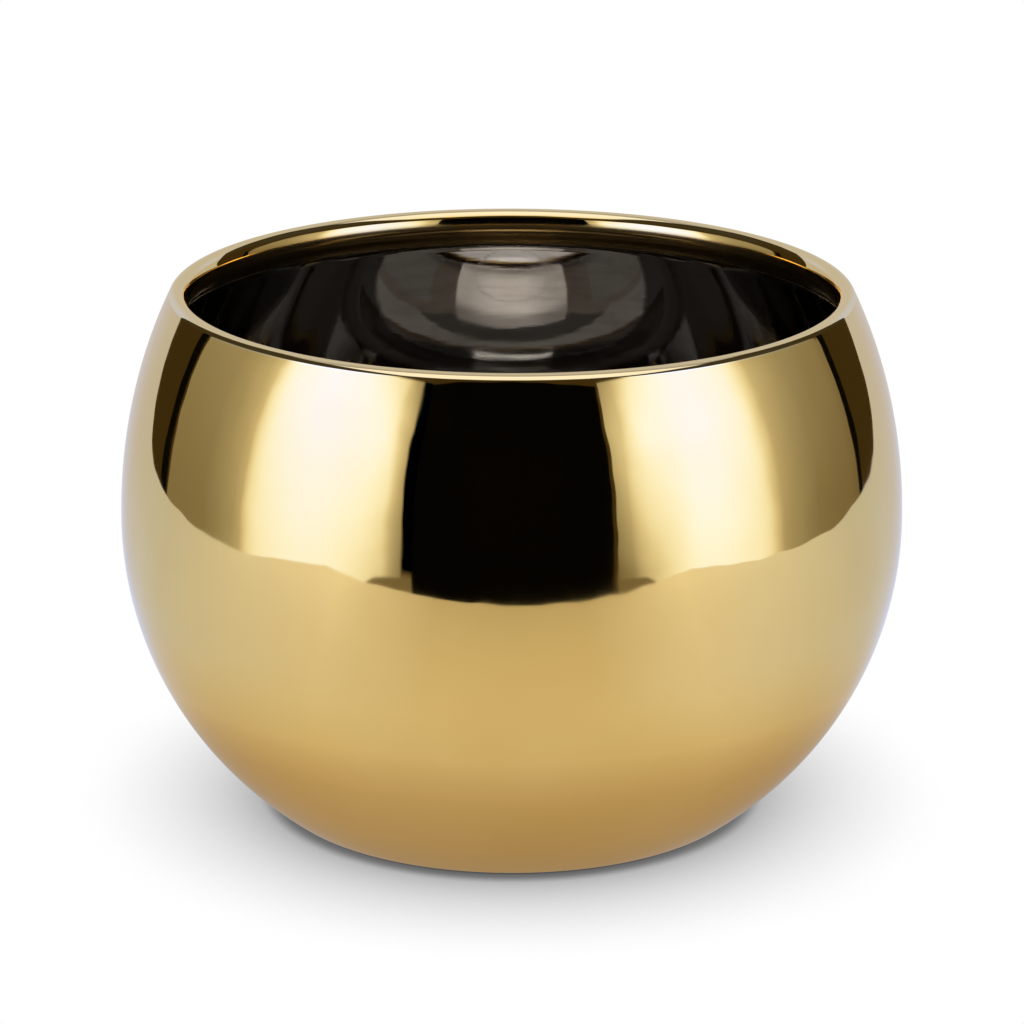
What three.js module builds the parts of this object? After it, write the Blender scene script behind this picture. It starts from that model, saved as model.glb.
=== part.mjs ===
// Round planter pot with a mirror-gold outside, a dark glazed inside and a drain hole with a plug.
// The pot is fired clay. A gold coat wraps the outside and rolls over the lip, and a dark glaze lines the
// inside below it. The clay stays bare on its foot ring, which stands on four felt feet. A plug with a dark
// glazed cap, flush with the floor, closes the drain hole and lifts out upwards on its ribbed rubber seal.
// Sizes are in millimetres, +Z is up, and the origin is on the ground under the middle of the pot.
import * as THREE from "three";

// Outline of the pot
const potHeight = 135.8; // ground to the top of the lip
const bellyRadius = 100; // at its widest
const bellyHeight = 75.6; // ground to the widest level
const mouthRadius = 87.1; // outside, level with the middle of the lip
const footRadius = 61.5; // where the bowl's curve would meet the ground plane of the foot
const wallThickness = 4.8; // with both coats, and the width of the rounded lip

// Coats on the clay
const coatThickness = 0.5;
const coatGap = 0.3; // between a coat and the clay, and between the two coats
const goldBandDepth = 10; // how far the gold reaches down inside, from the top of the lip

// Foot
const footCornerRadius = 1.6;
const footRingWidth = 10;
const footRecessDepth = 3;
const footRecessFillet = 2;

// Felt feet, glued under the foot ring
const feltCount = 4;
const feltMargin = 0.8; // from a felt's edge to either edge of the foot ring
const feltThickness = 0.8;
const feltChamfer = 0.25;

// Floor inside the pot
const floorThickness = 7; // from the roof of the foot's recess to the floor inside
const floorFillet = 12; // between the floor and the wall
const sinkRadius = 14;
const sinkDepth = 2.5;
const drainRadius = 7;

// Plug: a glazed cap with a peg, pushed into the bore of a ribbed seal
const plugClearance = 0.3; // all round, in the drain hole and in the sink, and round the peg
const capDrop = 0.1; // top of the cap below the floor inside
const capEdge = 0.2; // rounding of the cap's upper edge
const pegRadius = 2.5;
const pegLength = 4;
const sealRim = 0.7; // thickness of the seal's rim, which the cap presses on the sink
const sealRimInset = 1.5; // from the cap's edge to the edge of that rim
const sealReach = 1.6; // below the clay, so that a finger can push it up
const sealRibCount = 3;
const sealRibDepth = 0.9;
const sealTaper = 0.25; // each rib is this much slimmer than the one above

// Fineness of the curves
const aroundPot = 48;
const aroundPlug = 32;
const aroundFelt = 20;
const bowlSteps = 8;
const shoulderSteps = 5;
const lipSteps = 6;
const floorFilletSteps = 3;
const cornerSteps = 2;

const footHeight = feltThickness; // the foot ring stands on the felts
const halfWall = wallThickness / 2;
const clayInset = coatThickness + coatGap; // depth of the clay's skin under either coat
const lipHeight = potHeight - halfWall; // centre of the rounded lip
const floorHeight = footHeight + footRecessDepth + floorThickness;
const sinkHeight = floorHeight - sinkDepth;
const capRadius = sinkRadius - plugClearance;
const capSeat = sinkHeight + sealRim; // underside of the cap, on the seal's rim

// The outline is two quarter ellipses that meet at the belly, one through the mouth and one through the foot.
const shoulderRise = ellipseHalfHeight(lipHeight - bellyHeight, mouthRadius);
const bowlDrop = ellipseHalfHeight(bellyHeight - footHeight, footRadius);

function ellipseHalfHeight(distance, radiusThere) {
  return distance / Math.sqrt(1 - (radiusThere / bellyRadius) ** 2);
}

// Outward direction of the outline at an angle that is 0 at the belly and grows towards the mouth.
function outward(angle) {
  const halfHeight = angle < 0 ? bowlDrop : shoulderRise;
  return new THREE.Vector2(
    Math.cos(angle) / bellyRadius,
    Math.sin(angle) / halfHeight,
  ).normalize();
}

// Point of the wall, as radius and height, at that angle and a depth below the outside.
function wallPoint(angle, depth) {
  const halfHeight = angle < 0 ? bowlDrop : shoulderRise;
  return new THREE.Vector2(
    bellyRadius * Math.cos(angle),
    bellyHeight + halfHeight * Math.sin(angle),
  ).addScaledVector(outward(angle), -depth);
}

// Angle at which the wall, at that depth, reaches a height.
function angleAt(height, depth) {
  let low = -Math.PI / 2;
  let high = Math.PI / 2;
  for (let i = 0; i < 50; i++) {
    const middle = (low + high) / 2;
    if (wallPoint(middle, depth).y < height) low = middle;
    else high = middle;
  }
  return (low + high) / 2;
}

const lipAngle = angleAt(lipHeight, halfWall);
const cornerAngle = angleAt(footHeight + footCornerRadius, footCornerRadius);
const filletAngle = angleAt(floorHeight + floorFillet, wallThickness + floorFillet);
const bandAngle = angleAt(potHeight - goldBandDepth, wallThickness);
const glazeTopAngle = angleAt(potHeight - goldBandDepth - coatGap, wallThickness);

const lipCentre = wallPoint(lipAngle, halfWall);
const cornerCentre = wallPoint(cornerAngle, footCornerRadius);
const filletCentre = wallPoint(filletAngle, wallThickness + floorFillet);
const footOuter = cornerCentre.x - coatGap;
const footInner = footOuter - footRingWidth;

function spread(from, to, steps) {
  return Array.from({ length: steps + 1 }, (_, i) => from + ((to - from) * i) / steps);
}

// Angles of the rings of points up the wall. Every layer uses the same ones, so that the layers stay parallel.
const outsideAngles = [
  ...spread(cornerAngle, 0, bowlSteps),
  ...spread(0, lipAngle, shoulderSteps).slice(1),
];
const insideAngles = [
  ...spread(filletAngle, 0, bowlSteps - 1),
  ...spread(0, bandAngle, shoulderSteps - 1).slice(1),
];

function wallLine(angles, depth) {
  return angles.map((angle) => wallPoint(angle, depth));
}

function arc(centre, radius, from, to, steps) {
  return spread(from, to, steps).map(
    (a) => new THREE.Vector2(centre.x + radius * Math.cos(a), centre.y + radius * Math.sin(a)),
  );
}

const straightDown = -Math.PI / 2;
const lipStart = outward(lipAngle).angle();
const bowlLean = outward(filletAngle).angle() - 2 * Math.PI;
const cornerLean = outward(cornerAngle).angle() - 2 * Math.PI;

// Over the lip, from the outside to the inside. The end points belong to the walls on either side.
function overLip(depth) {
  return arc(lipCentre, halfWall - depth, lipStart, lipStart + Math.PI, lipSteps).slice(1, -1);
}

// Round the corner between floor and wall, from the floor up. The last point belongs to the wall.
function roundFloor(depth) {
  return arc(filletCentre, floorFillet + depth, straightDown, bowlLean, floorFilletSteps).slice(0, -1);
}

// Round the corner of the foot, from the ground up. The last point belongs to the wall.
function roundFoot(depth) {
  return arc(cornerCentre, footCornerRadius - depth, straightDown, cornerLean, cornerSteps).slice(0, -1);
}

// A closed loop of points, turned about the pot's axis. Points run anticlockwise, seen with the axis on the left.
function ring(points, segments) {
  return new THREE.LatheGeometry([...points, points[0]], segments).rotateX(Math.PI / 2);
}

const at = (radius, height) => new THREE.Vector2(radius, height);

const gold = new THREE.MeshStandardMaterial({ color: 0xe0ba73, metalness: 1, roughness: 0.05 });
const darkGlaze = new THREE.MeshStandardMaterial({ color: 0x2a2420, metalness: 0.2, roughness: 0.12 });
const bareClay = new THREE.MeshStandardMaterial({ color: 0xe3d8c6, metalness: 0, roughness: 0.9 });
const silicone = new THREE.MeshStandardMaterial({ color: 0x1d1d1e, metalness: 0, roughness: 0.6 });
const felt = new THREE.MeshStandardMaterial({ color: 0x3a332e, metalness: 0, roughness: 1 });

const pot = new THREE.Group();

function addPiece(name, geometry, material) {
  const piece = new THREE.Mesh(geometry, material);
  piece.name = name;
  pot.add(piece);
  return piece;
}

// Gold coat: up the outside from the corner of the foot, over the lip, and a short way down inside.
function goldCoat() {
  const insideBand = spread(lipAngle, bandAngle, 1);
  const face = [
    ...roundFoot(0),
    ...wallLine(outsideAngles, 0),
    ...overLip(0),
    ...wallLine(insideBand, wallThickness),
  ];
  const back = [
    ...roundFoot(coatThickness),
    ...wallLine(outsideAngles, coatThickness),
    ...overLip(coatThickness),
    ...wallLine(insideBand, wallThickness - coatThickness),
  ];
  return ring([...face, ...back.reverse()], aroundPot);
}

// Clay: foot ring, bowl, lip, floor with its sink, and the drain hole.
function clayBody() {
  const clayFloor = floorHeight - clayInset;
  const claySink = sinkHeight - clayInset;
  const recessRoof = footHeight + footRecessDepth;
  return ring(
    [
      at(drainRadius, recessRoof),
      at(footInner - footRecessFillet, recessRoof),
      at(footInner, recessRoof - footRecessFillet),
      at(footInner, footHeight),
      at(footOuter, footHeight),
      at(footOuter, footHeight + clayInset),
      ...roundFoot(clayInset),
      ...wallLine(outsideAngles, clayInset),
      ...overLip(clayInset),
      wallPoint(lipAngle, wallThickness - clayInset),
      ...wallLine(insideAngles, wallThickness - clayInset).reverse(),
      ...roundFloor(clayInset).reverse(),
      at(sinkRadius + clayInset, clayFloor),
      at(sinkRadius + clayInset, claySink),
      at(drainRadius, claySink),
    ],
    aroundPot,
  );
}

// Dark glaze: down the inside from the gold's edge, over the floor and into the sink.
function innerGlaze() {
  const angles = [...insideAngles.slice(0, -1), glazeTopAngle];
  const face = [
    at(drainRadius, sinkHeight),
    at(sinkRadius, sinkHeight),
    at(sinkRadius, floorHeight),
    ...roundFloor(0),
    ...wallLine(angles, wallThickness),
  ];
  const back = [
    at(drainRadius, sinkHeight - coatThickness),
    at(sinkRadius + coatThickness, sinkHeight - coatThickness),
    at(sinkRadius + coatThickness, floorHeight - coatThickness),
    ...roundFloor(coatThickness),
    ...wallLine(angles, wallThickness - coatThickness),
  ];
  return ring([...back, ...face.reverse()], aroundPot);
}

// Plug's cap: a glazed disc that fills the sink, with a peg under it.
function plugCap() {
  const capTop = floorHeight - capDrop;
  const profile = [
    at(0, capSeat - pegLength),
    at(pegRadius, capSeat - pegLength),
    at(pegRadius, capSeat),
    at(capRadius, capSeat),
    ...arc(at(capRadius - capEdge, capTop - capEdge), capEdge, 0, Math.PI / 2, cornerSteps),
    at(0, capTop),
  ];
  return new THREE.LatheGeometry(profile, aroundPlug).rotateX(Math.PI / 2);
}

// Plug's seal: a rim under the cap, and a bored stem with sealing ribs that taper downwards.
function plugSeal() {
  const ribRadius = drainRadius - plugClearance;
  const stemEnd = footHeight + footRecessDepth - sealReach;
  const ribPitch = (sinkHeight - stemEnd) / sealRibCount;
  const stem = [];
  for (let i = sealRibCount - 1; i >= 0; i--) {
    const crest = ribRadius - sealTaper * i;
    const root = crest - sealRibDepth;
    const top = sinkHeight - ribPitch * i;
    stem.push(at(root, top - ribPitch), at(crest, top - ribPitch * 0.45));
    stem.push(at(crest, top - ribPitch * 0.2), at(root, top));
  }
  const bore = pegRadius + plugClearance;
  const boreEnd = capSeat - pegLength - plugClearance;
  const profile = [
    at(0, stemEnd),
    ...stem,
    at(capRadius - sealRimInset, sinkHeight),
    at(capRadius - sealRimInset, capSeat),
    at(bore, capSeat),
    at(bore, boreEnd),
    at(0, boreEnd),
  ];
  return new THREE.LatheGeometry(profile, aroundPlug).rotateX(Math.PI / 2);
}

// Felt foot: a thin disc with its lower edge softened.
function feltFoot() {
  const feltRadius = footRingWidth / 2 - feltMargin;
  const profile = [
    at(0, 0),
    at(feltRadius - feltChamfer, 0),
    at(feltRadius, feltChamfer),
    at(feltRadius, feltThickness),
    at(0, feltThickness),
  ];
  return new THREE.LatheGeometry(profile, aroundFelt).rotateX(Math.PI / 2);
}

addPiece("ceramic_body", clayBody(), bareClay);
addPiece("gold_outer_coat", goldCoat(), gold);
addPiece("dark_inner_glaze", innerGlaze(), darkGlaze);
addPiece("drain_plug", plugCap(), darkGlaze);
addPiece("plug_seal", plugSeal(), silicone);

// The felts sit midway across the foot ring, evenly round it.
const feltCircle = footOuter - footRingWidth / 2;
for (let i = 0; i < feltCount; i++) {
  const turn = (2 * Math.PI * (i + 0.5)) / feltCount;
  const foot = addPiece(`felt_foot_${i + 1}`, feltFoot(), felt);
  foot.position.set(feltCircle * Math.cos(turn), feltCircle * Math.sin(turn), 0);
}

export default pot;
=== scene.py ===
import math

import bpy
from mathutils import Matrix, Vector


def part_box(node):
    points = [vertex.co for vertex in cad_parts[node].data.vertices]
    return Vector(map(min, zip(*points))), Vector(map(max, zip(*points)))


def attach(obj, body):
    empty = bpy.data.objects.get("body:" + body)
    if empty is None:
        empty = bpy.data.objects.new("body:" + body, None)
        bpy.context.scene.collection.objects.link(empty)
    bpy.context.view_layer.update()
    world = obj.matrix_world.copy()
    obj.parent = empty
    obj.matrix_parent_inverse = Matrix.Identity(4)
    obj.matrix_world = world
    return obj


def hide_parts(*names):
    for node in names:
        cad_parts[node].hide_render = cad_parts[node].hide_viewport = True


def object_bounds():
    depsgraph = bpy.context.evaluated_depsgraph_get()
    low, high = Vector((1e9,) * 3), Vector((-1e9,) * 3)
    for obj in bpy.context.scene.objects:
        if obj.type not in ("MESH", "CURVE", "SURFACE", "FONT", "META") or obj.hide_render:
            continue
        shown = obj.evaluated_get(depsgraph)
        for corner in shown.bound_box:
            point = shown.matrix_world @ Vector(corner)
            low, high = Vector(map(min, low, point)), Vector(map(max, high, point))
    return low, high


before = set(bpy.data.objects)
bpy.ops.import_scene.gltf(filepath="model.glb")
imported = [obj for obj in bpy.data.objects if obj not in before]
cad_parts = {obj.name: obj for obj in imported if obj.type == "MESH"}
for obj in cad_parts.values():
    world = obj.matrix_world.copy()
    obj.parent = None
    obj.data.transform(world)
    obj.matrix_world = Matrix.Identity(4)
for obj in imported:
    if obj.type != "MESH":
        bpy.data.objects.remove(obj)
cadLow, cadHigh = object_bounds()

# Round planter pot, mirror gold outside and dark glazed inside.
# All lengths are in metres, the pot's axis is Z, and the photograph looks along +Y.

quarterTurn = math.pi / 2
fullTurn = math.pi * 2

# Camera, fitted to the pot's outline in the photograph

cameraView = {
    "place": (0.0, -1.0, 0.3882),
    "lookDown": 0.303,  # radians below level
    "roll": 0.0025,
    "lens": 143.165,
    "shiftRight": 0.00027,
}


def addCamera():
    bpy.ops.object.camera_add()
    camera = bpy.context.object
    camera.name = "photoCamera"
    camera.matrix_world = (
        Matrix.Translation(cameraView["place"])
        @ Matrix.Rotation(quarterTurn - cameraView["lookDown"], 4, "X")
        @ Matrix.Rotation(cameraView["roll"], 4, "Z")
    )
    camera.data.lens = cameraView["lens"]
    camera.data.shift_x = cameraView["shiftRight"]
    camera.data.dof.use_dof = False
    bpy.context.scene.camera = camera


# Node helpers


def addNode(tree, kind, inputs=None, **settings):
    made = tree.nodes.new(kind)
    for name, value in settings.items():
        setattr(made, name, value)
    for name, value in (inputs or {}).items():
        socket = made.inputs[name]
        if isinstance(value, bpy.types.NodeSocket):
            tree.links.new(value, socket)
        else:
            socket.default_value = value
    return made


def calculate(tree, operation, first, second=0.0, third=0.0, clamp=False):
    inputs = {0: first, 1: second, 2: third}
    return addNode(tree, "ShaderNodeMath", inputs, operation=operation, use_clamp=clamp).outputs[0]


def multiply(tree, first, *others):
    for other in others:
        first = calculate(tree, "MULTIPLY", first, other)
    return first


def ramp(tree, value, start, end, low=0.0, high=1.0, smooth=True):
    inputs = {"Value": value, "From Min": start, "From Max": end, "To Min": low, "To Max": high}
    shape = "SMOOTHSTEP" if smooth else "LINEAR"
    return addNode(tree, "ShaderNodeMapRange", inputs, interpolation_type=shape).outputs["Result"]


def choose(tree, switch, off, on):
    return ramp(tree, switch, 0, 1, off, on, smooth=False)


def levelAlong(tree, value, stops):
    # stops are pairs of a value and the level there
    start, end = stops[0][0], stops[-1][0]
    highest = max(level for _, level in stops)
    made = addNode(tree, "ShaderNodeValToRGB", {"Fac": ramp(tree, value, start, end, smooth=False)})
    points = made.color_ramp.elements
    while len(points) < len(stops):
        points.new(0.5)
    for point, (where, _) in zip(points, stops):
        point.position = (where - start) / (end - start)
    for point, (_, level) in zip(points, stops):
        point.color = (*(level / highest,) * 3, 1)
    return calculate(tree, "MULTIPLY", made.outputs["Color"], highest)


def noise(tree, place, scale, detail=2.0, roughness=0.5, stretch=None):
    if stretch:
        place = addNode(tree, "ShaderNodeMapping", {"Vector": place, "Scale": stretch}).outputs[0]
    inputs = {"Vector": place, "Scale": scale, "Detail": detail, "Roughness": roughness}
    return addNode(tree, "ShaderNodeTexNoise", inputs).outputs["Fac"]


def mixColour(tree, share, first, second):
    mixed = addNode(tree, "ShaderNodeMix", data_type="RGBA")
    for index, value in ((0, share), (6, first), (7, second)):
        if isinstance(value, bpy.types.NodeSocket):
            tree.links.new(value, mixed.inputs[index])
        elif index == 0:
            mixed.inputs[index].default_value = value
        else:
            mixed.inputs[index].default_value = (*value, 1.0)
    return mixed.outputs[2]


def mixShaders(tree, share, first, second):
    return addNode(tree, "ShaderNodeMixShader", {0: share, 1: first, 2: second}).outputs[0]


def emission(tree, level, colour=(1, 1, 1, 1)):
    return addNode(tree, "ShaderNodeEmission", {"Color": colour, "Strength": level}).outputs[0]


def bumpFrom(tree, height):
    return addNode(tree, "ShaderNodeBump", {"Height": height, "Distance": 1.0}).outputs[0]


def objectPlace(tree):
    return addNode(tree, "ShaderNodeTexCoord").outputs["Object"]


def axesOf(tree, place):
    return addNode(tree, "ShaderNodeSeparateXYZ", {"Vector": place}).outputs


def distanceFromAxis(tree, axes):
    across = addNode(tree, "ShaderNodeCombineXYZ", {"X": axes["X"], "Y": axes["Y"]}).outputs[0]
    return addNode(tree, "ShaderNodeVectorMath", {0: across}, operation="LENGTH").outputs["Value"]


def azimuthOf(tree, axes):
    # degrees from the front, the same to the left and to the right
    side = calculate(tree, "ABSOLUTE", axes["X"])
    forward = calculate(tree, "MULTIPLY", axes["Y"], -1.0)
    return calculate(tree, "DEGREES", calculate(tree, "ARCTAN2", side, forward))


def startMaterial(name):
    material = bpy.data.materials.new(name)
    material.use_nodes = True
    tree = material.node_tree
    tree.nodes.clear()
    output = tree.nodes.new("ShaderNodeOutputMaterial")
    return material, tree, output.inputs["Surface"]


def finishMaterial(material, tree, surface, inputs):
    shader = addNode(tree, "ShaderNodeBsdfPrincipled", inputs)
    tree.links.new(shader.outputs[0], surface)
    return material


# Modelling helpers


def selectOnly(piece):
    bpy.ops.object.select_all(action="DESELECT")
    piece.select_set(True)
    bpy.context.view_layer.objects.active = piece


def applyPlace():
    bpy.ops.object.transform_apply(location=True, rotation=True, scale=True)


def startPlane(name, size=1.0, place=(0, 0, 0)):
    bpy.ops.object.select_all(action="DESELECT")
    bpy.ops.mesh.primitive_plane_add(size=size, location=place)
    piece = bpy.context.object
    piece.name = name
    piece.data.name = name
    return piece


def startPoint(name, place):
    # a small plane is merged into one point, from which an outline is then extruded in edit mode
    piece = startPlane(name, 0.001, place)
    applyPlace()
    bpy.ops.object.mode_set(mode="EDIT")
    bpy.ops.mesh.select_mode(type="VERT")
    bpy.ops.mesh.select_all(action="SELECT")
    bpy.ops.mesh.merge(type="CENTER")
    return piece


def extrudeBy(step):
    bpy.ops.mesh.extrude_region_move(TRANSFORM_OT_translate={"value": step})


# Stage: a white shooting table whose back sweeps up, two side screens, a softbox overhead, and black cards.
# Azimuths are in degrees as the pot sees them: 0 faces the camera, and 90 is the right-hand side.
# Light that has met several mirrors comes from inside the pot, so the stage gives it levels of its own.

table = {
    "left": -0.60,
    "right": 0.58,
    "front": -0.51,
    "bendStart": 0.35,
    "bendRadius": 0.25,
    "wallTop": 1.35,
    "paper": 0.93,
    "white": 1.31,
    "contact": (0.0615, 0.0665, 0.45),  # distances and depth of the shadow at the foot
    "shadowReach": 0.1,  # how far round the pot the paper is shaded
    "shadowDepth": 0.7,
    # level that the gold mirrors, at azimuths from 0 in front to 180 behind, and how it grows with distance
    "mirrored": ((0, 0.79), (20, 0.80), (45, 0.88), (75, 0.785), (105, 0.70), (180, 0.68)),
    "growth": ((0, -0.6), (20, -0.5), (45, 0.45), (75, 0.4), (105, -0.05), (180, -0.1)),
    "growthReach": (0.17, 0.6),  # distances where it is nothing, and where it ends
    # distances and level of the light that the clay's underside gets
    "underPot": (0.0585, 0.0605, 0.62),
    # the paper's level close to the pot as a mirror sees it, darker toward the foot: painted shadow
    "nearPotShade": ((0.060, 0.52), (0.070, 0.60), (0.090, 0.72), (0.115, 0.94), (0.150, 1.0)),
    "warm": (1.0, 0.87, 0.76),  # tint of the paper close to the gold: painted light that the gold throws back onto it
    "goldGlowReach": (0.075, 0.13),
    "cool": (1.0, 1.21, 1.87),  # and behind the pot
    "coolShare": ((0, 0), (18, 0), (60, 0.5), (120, 1.0), (145, 0.6), (152, 0.42), (159, 0.0), (180, 0)),
    "coolReach": (0.09, 0.19),
    "coolTop": (0.3, 0.5),  # heights between which the tint ends
    "insideGlow": 9.8,  # level of the lower wall for what the inside mirrors
    "insideTop": 4.2,  # and of the wall above it
    "insideFoot": (0.16, 0.36),  # heights between which the level starts
    "insideEnds": (0.66, 0.94),  # and between which it drops
    "insideSides": (0.05, 0.45, 1, 0.6),  # distances from the middle, and shares of the level there
    "insideDeep": 0.35,  # share of it for light that has met four mirrors
    "insideLine": 80.0,  # extra level high up for the same light
    "lineRise": (1.0, 1.12),  # heights between which that starts
    "lineSides": (0.26, 0.34),  # distances from the middle between which it ends
}


def mirrorCount(tree, count):
    # 1 for light that has met this many mirrors or more
    path = addNode(tree, "ShaderNodeLightPath").outputs
    return calculate(tree, "GREATER_THAN", path["Glossy Depth"], count - 0.5)


def metOnce(tree):
    path = addNode(tree, "ShaderNodeLightPath").outputs
    return calculate(tree, "SUBTRACT", path["Is Glossy Ray"], mirrorCount(tree, 2), clamp=True)


def addSweep():
    sweep = startPlane("whiteSweep")
    depth = table["bendStart"] - table["front"]
    middle = (table["left"] + table["right"]) / 2
    bpy.ops.transform.resize(value=(table["right"] - table["left"], depth, 1))
    bpy.ops.transform.translate(value=(middle, table["front"] + depth / 2, 0))
    applyPlace()
    bpy.ops.object.mode_set(mode="EDIT")
    bpy.ops.mesh.select_mode(type="EDGE")
    bpy.ops.mesh.select_all(action="DESELECT")
    bpy.ops.object.mode_set(mode="OBJECT")
    for edge in sweep.data.edges:
        ends = [sweep.data.vertices[i].co.y for i in edge.vertices]
        edge.select = min(ends) > table["bendStart"] - 0.001
    bpy.ops.object.mode_set(mode="EDIT")
    steps = 12
    radius = table["bendRadius"]
    last = (0.0, 0.0)
    for i in range(1, steps + 1):
        angle = quarterTurn * i / steps
        here = (radius * math.sin(angle), radius * (1 - math.cos(angle)))
        extrudeBy((0, here[0] - last[0], here[1] - last[1]))
        last = here
    extrudeBy((0, 0, table["wallTop"] - radius))
    bpy.ops.object.mode_set(mode="OBJECT")
    bpy.ops.object.shade_smooth_by_angle(angle=math.radians(20))
    sweep.data.materials.append(sweepPaper())


def mirroredPaper(tree, axes):
    # the paper's colour in a mirror, by the place on the table and the wall, with a painted warm glow close
    # to the gold
    azimuth = azimuthOf(tree, axes)
    radius = distanceFromAxis(tree, axes)
    growth = levelAlong(tree, azimuth, [(where, value + 1) for where, value in table["growth"]])
    growth = calculate(tree, "SUBTRACT", growth, 1.0)
    start, end = table["growthReach"]
    reach = calculate(tree, "SUBTRACT", calculate(tree, "MINIMUM", radius, end), start)
    growth = calculate(tree, "MULTIPLY_ADD", growth, reach, 1.0)
    # painted shade close to the pot, in what a mirror sees
    nearShade = levelAlong(tree, radius, table["nearPotShade"])
    level = multiply(tree, levelAlong(tree, azimuth, table["mirrored"]), growth, nearShade)
    cool = multiply(
        tree,
        levelAlong(tree, azimuth, table["coolShare"]),
        ramp(tree, radius, *table["coolReach"]),
        ramp(tree, axes["Z"], *table["coolTop"], 1, 0),
        metOnce(tree),
    )
    tint = mixColour(tree, cool, (1, 1, 1), table["cool"])
    # painted warm glow on the paper close to the gold
    tint = mixColour(tree, ramp(tree, radius, *table["goldGlowReach"], 1, 0), tint, table["warm"])
    return emission(tree, level, tint)


def insidePaper(tree, axes):
    # the level that reaches the pot's inside, over several mirrors
    height = axes["Z"]
    aside = calculate(tree, "ABSOLUTE", axes["X"])
    deep = mirrorCount(tree, 4)
    level = multiply(
        tree,
        ramp(tree, height, *table["insideFoot"]),
        ramp(tree, height, *table["insideEnds"], table["insideGlow"], table["insideTop"]),
        ramp(tree, aside, *table["insideSides"]),
        choose(tree, deep, 1, table["insideDeep"]),
    )
    line = multiply(
        tree,
        deep,
        ramp(tree, height, *table["lineRise"], 0, table["insideLine"]),
        ramp(tree, aside, *table["lineSides"], 1, 0),
    )
    return emission(tree, calculate(tree, "ADD", level, line))


def sweepPaper():
    # the camera sees the paper as white with a painted shadow round the pot's foot, and a mirror sees it by
    # rules of its own, with painted shade close to the pot
    material, tree, surface = startMaterial("sweepPaper")
    path = addNode(tree, "ShaderNodeLightPath").outputs
    axes = axesOf(tree, objectPlace(tree))
    radius = distanceFromAxis(tree, axes)
    paper = addNode(tree, "ShaderNodeBsdfDiffuse", {"Color": (*(table["paper"],) * 3, 1)}).outputs[0]
    start, end, level = table["underPot"]
    glow = multiply(tree, path["Is Diffuse Ray"], ramp(tree, radius, start, end, level, 0))
    paper = addNode(tree, "ShaderNodeAddShader", {0: paper, 1: emission(tree, glow)}).outputs[0]
    mirrored = mirroredPaper(tree, axes)
    mirrored = mixShaders(tree, mirrorCount(tree, 3), mirrored, insidePaper(tree, axes))
    paper = mixShaders(tree, path["Is Glossy Ray"], paper, mirrored)
    # painted shadow on the paper round the pot's foot, as the camera sees it
    nearShade = addNode(tree, "ShaderNodeAmbientOcclusion", {"Distance": table["shadowReach"]}, samples=32)
    shade = calculate(tree, "POWER", nearShade.outputs["AO"], table["shadowDepth"])
    start, end, depth = table["contact"]
    shade = multiply(tree, shade, ramp(tree, radius, start, end, depth, 1))
    white = calculate(tree, "MULTIPLY", shade, table["white"], clamp=True)
    paper = mixShaders(tree, path["Is Camera Ray"], paper, emission(tree, white))
    clear = addNode(tree, "ShaderNodeBsdfTransparent").outputs[0]
    behind = addNode(tree, "ShaderNodeNewGeometry").outputs["Backfacing"]
    tree.links.new(mixShaders(tree, behind, paper, clear), surface)
    return material


def dressCard(card, material):
    card.data.materials.append(material)
    card.visible_camera = False


def startCard(name, size):
    card = startPlane(name)
    card.scale = (*size, 1)
    bpy.ops.object.transform_apply(scale=True)
    return card


def addCard(name, material, azimuth, distance, width, low, high):
    # low and high are the heights of the card's lower and upper edges
    card = startCard(name, (width, high - low))
    turn = math.radians(azimuth)
    place = Vector((math.sin(turn) * distance, -math.cos(turn) * distance, (low + high) / 2))
    facing = Matrix.Rotation(turn, 4, "Z") @ Matrix.Rotation(-quarterTurn, 4, "X")
    card.matrix_world = Matrix.Translation(place) @ facing
    dressCard(card, material)


def addCeiling(name, material, place, size):
    card = startCard(name, size)
    card.matrix_world = Matrix.Translation(place) @ Matrix.Rotation(math.pi, 4, "X")
    dressCard(card, material)


def addScreen(name, material, start, end, radius, low, high):
    # a screen bent round the table, from one azimuth to another
    screen = startPoint(name, (radius, 0, low))
    extrudeBy((0, 0, high - low))
    bpy.ops.mesh.select_all(action="SELECT")
    steps = 48
    wide = math.radians(end - start)
    bpy.ops.mesh.spin(steps=steps, angle=wide, center=(0, 0, 0), axis=(0, 0, 1))
    bpy.ops.object.mode_set(mode="OBJECT")
    halfway = screen.data.polygons[steps // 2]
    middle = halfway.center
    turn = math.radians((start + end) / 2) - quarterTurn
    screen.rotation_euler.z = turn - math.atan2(middle.y, middle.x)
    if halfway.normal.dot(middle) > 0:
        bpy.ops.object.mode_set(mode="EDIT")
        bpy.ops.mesh.select_all(action="SELECT")
        bpy.ops.mesh.flip_normals()
        bpy.ops.object.mode_set(mode="OBJECT")
    applyPlace()
    bpy.ops.object.shade_smooth()
    dressCard(screen, material)


film = {
    "red": (1.28, 2.0),  # highest level and softness
    "green": (1.76, 2.55),
    "blue": (0.5, 3.2, 0.92, 1.2),  # levels, and the factor at each
    "dimReach": 0.45,  # level up to which light looks warmer
    "dimGreen": 0.75,
    "dimBlue": 0.3,
}


def filmColour(tree, level):
    # a photograph holds back the strongest colour of a bright light, which makes the light look white
    def dimmed(share):
        return ramp(tree, level, 0, film["dimReach"], share, 1, smooth=False)

    green = calculate(tree, "SMOOTH_MIN", level, *film["green"])
    bluer = ramp(tree, level, *film["blue"], smooth=False)
    held = {
        "Red": calculate(tree, "SMOOTH_MIN", level, *film["red"]),
        "Green": multiply(tree, green, dimmed(film["dimGreen"])),
        "Blue": multiply(tree, level, bluer, dimmed(film["dimBlue"])),
    }
    once = metOnce(tree)
    kept = {name: choose(tree, once, level, value) for name, value in held.items()}
    return addNode(tree, "ShaderNodeCombineColor", kept).outputs["Color"]


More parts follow.
